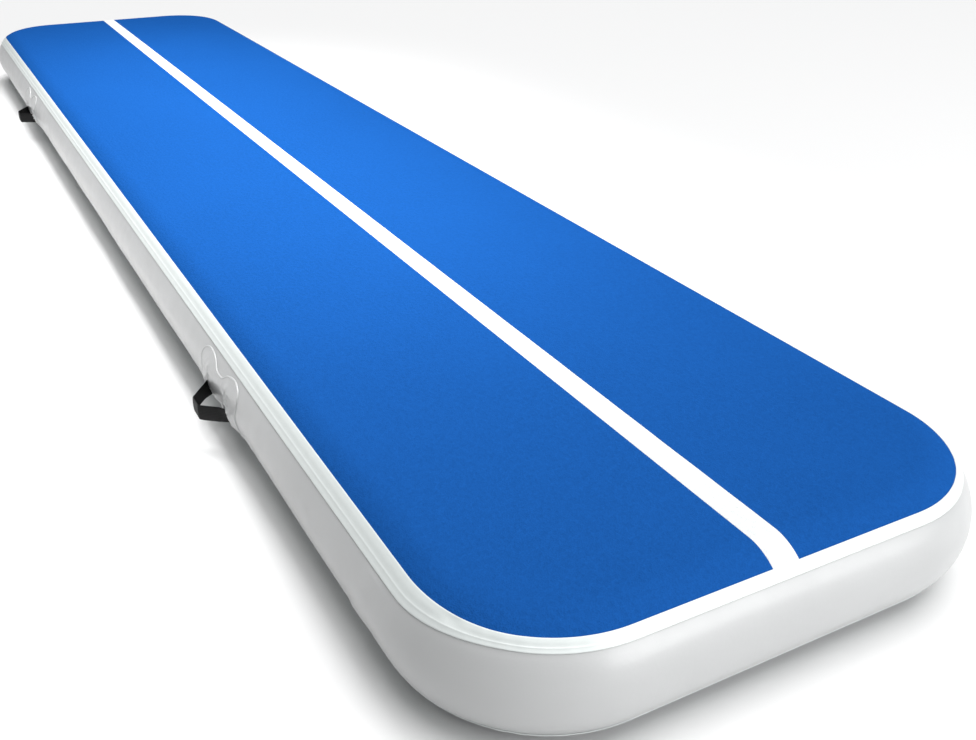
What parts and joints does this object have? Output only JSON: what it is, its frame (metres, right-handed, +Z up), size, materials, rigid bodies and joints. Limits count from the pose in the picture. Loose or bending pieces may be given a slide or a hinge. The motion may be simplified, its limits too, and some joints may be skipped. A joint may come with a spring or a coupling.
{
  "type": "air track mat",
  "caption": "Long inflatable tumbling mat with a padded blue top, white centre stripe, bulging side wall, webbing carry handles and an inflation valve in one end.",
  "frame": {"origin": "on the ground under the middle of the mat", "axes": "+Y along the mat towards the end with the valve, +Z up, +X across the mat"},
  "size_m": [1.092, 4.5884, 0.2],
  "materials": {
    "blue_laminate": "blue coated fabric with a fine embossed grain, satin",
    "white_stripe": "white coated fabric, satin",
    "bottom_laminate": "grey coated fabric, matt",
    "rail_tape": "white coated seam tape, slightly glossy",
    "side_wall": "off-white coated fabric with a fine scrim, glossy",
    "drop_stitch": "woven polyester base cloths and yarns",
    "handle_patch": "off-white coated fabric, glossy",
    "webbing": "black woven webbing, matt",
    "valve_plastic": "dark grey moulded plastic",
    "button_plastic": "black moulded plastic",
    "tether_rubber": "black flexible strap",
    "seal_rubber": "black rubber",
    "spring_steel": "spring wire"
  },
  "bodies": {
    "mat": {"top_panel_left": "blue_laminate", "top_panel_right": "blue_laminate", "centre_stripe": "white_stripe", "bottom_skin": "bottom_laminate", "top_rail_tape": "rail_tape", "bottom_rail_tape": "rail_tape", "sidewall_outer": "side_wall", "sidewall_inner": "side_wall", "drop_stitch_core": "drop_stitch", "handle_patch_near_left": "handle_patch", "handle_patch_near_right": "handle_patch", "handle_patch_far_left": "handle_patch", "handle_patch_far_right": "handle_patch", "handle_tail_near_left_1": "webbing", "handle_tail_near_left_2": "webbing", "handle_tail_near_right_1": "webbing", "handle_tail_near_right_2": "webbing", "handle_tail_far_left_1": "webbing", "handle_tail_far_left_2": "webbing", "handle_tail_far_right_1": "webbing", "handle_tail_far_right_2": "webbing", "valve_body": "valve_plastic", "valve_nut": "valve_plastic", "valve_saddle_outer": "seal_rubber", "valve_saddle_inner": "seal_rubber", "valve_patch": "handle_patch", "valve_spring": "spring_steel"},
    "handle_near_left": {"handle_loop_near_left": "webbing"},
    "handle_near_right": {"handle_loop_near_right": "webbing"},
    "handle_far_left": {"handle_loop_far_left": "webbing"},
    "handle_far_right": {"handle_loop_far_right": "webbing"},
    "valve_plunger": {"valve_stem": "valve_plastic", "valve_seal": "seal_rubber"},
    "valve_knob": {"valve_button": "button_plastic"},
    "tether_ring": {"valve_tether": "tether_rubber"},
    "cap_strap": {"valve_strap": "tether_rubber"},
    "cap": {"valve_cap": "valve_plastic", "valve_cap_seal": "seal_rubber"}
  },
  "joints": [
    {"name": "handle_near_left_swing", "type": "hinge", "parent": "mat", "child": "handle_near_left", "pos_m": [-0.504, -1.265, 0.074], "axis": [0, 1, 0], "range_deg": [-40, 40], "stiffness_Nm_per_rad": 0.06},
    {"name": "handle_near_right_swing", "type": "hinge", "parent": "mat", "child": "handle_near_right", "pos_m": [0.504, -1.265, 0.074], "axis": [0, -1, 0], "range_deg": [-40, 40], "stiffness_Nm_per_rad": 0.06},
    {"name": "handle_far_left_swing", "type": "hinge", "parent": "mat", "child": "handle_far_left", "pos_m": [-0.504, 1.13, 0.074], "axis": [0, 1, 0], "range_deg": [-40, 40], "stiffness_Nm_per_rad": 0.06},
    {"name": "handle_far_right_swing", "type": "hinge", "parent": "mat", "child": "handle_far_right", "pos_m": [0.504, 1.13, 0.074], "axis": [0, -1, 0], "range_deg": [-40, 40], "stiffness_Nm_per_rad": 0.06},
    {"name": "valve_push", "type": "slide", "parent": "mat", "child": "valve_plunger", "axis": [0, -1, 0], "range_m": [0, 0.006], "stiffness_N_per_m": 600, "springref_m": -0.003, "deforming": ["valve_spring"]},
    {"name": "valve_lock_turn", "type": "hinge", "parent": "valve_plunger", "child": "valve_knob", "pos_m": [0, 2.285, 0.1], "axis": [0, 1, 0], "range_deg": [0, 90]},
    {"name": "tether_turn", "type": "hinge", "parent": "mat", "child": "tether_ring", "pos_m": [0, 2.285, 0.1], "axis": [0, 1, 0], "continuous": true},
    {"name": "cap_flip", "type": "hinge", "parent": "tether_ring", "child": "cap_strap", "pos_m": [0, 2.2962, 0.0698], "axis": [-1, 0, 0], "range_deg": [0, 105]},
    {"name": "cap_turn", "type": "hinge", "parent": "cap_strap", "child": "cap", "pos_m": [0, 2.285, 0.1], "axis": [0, 1, 0], "continuous": true}
  ]
}
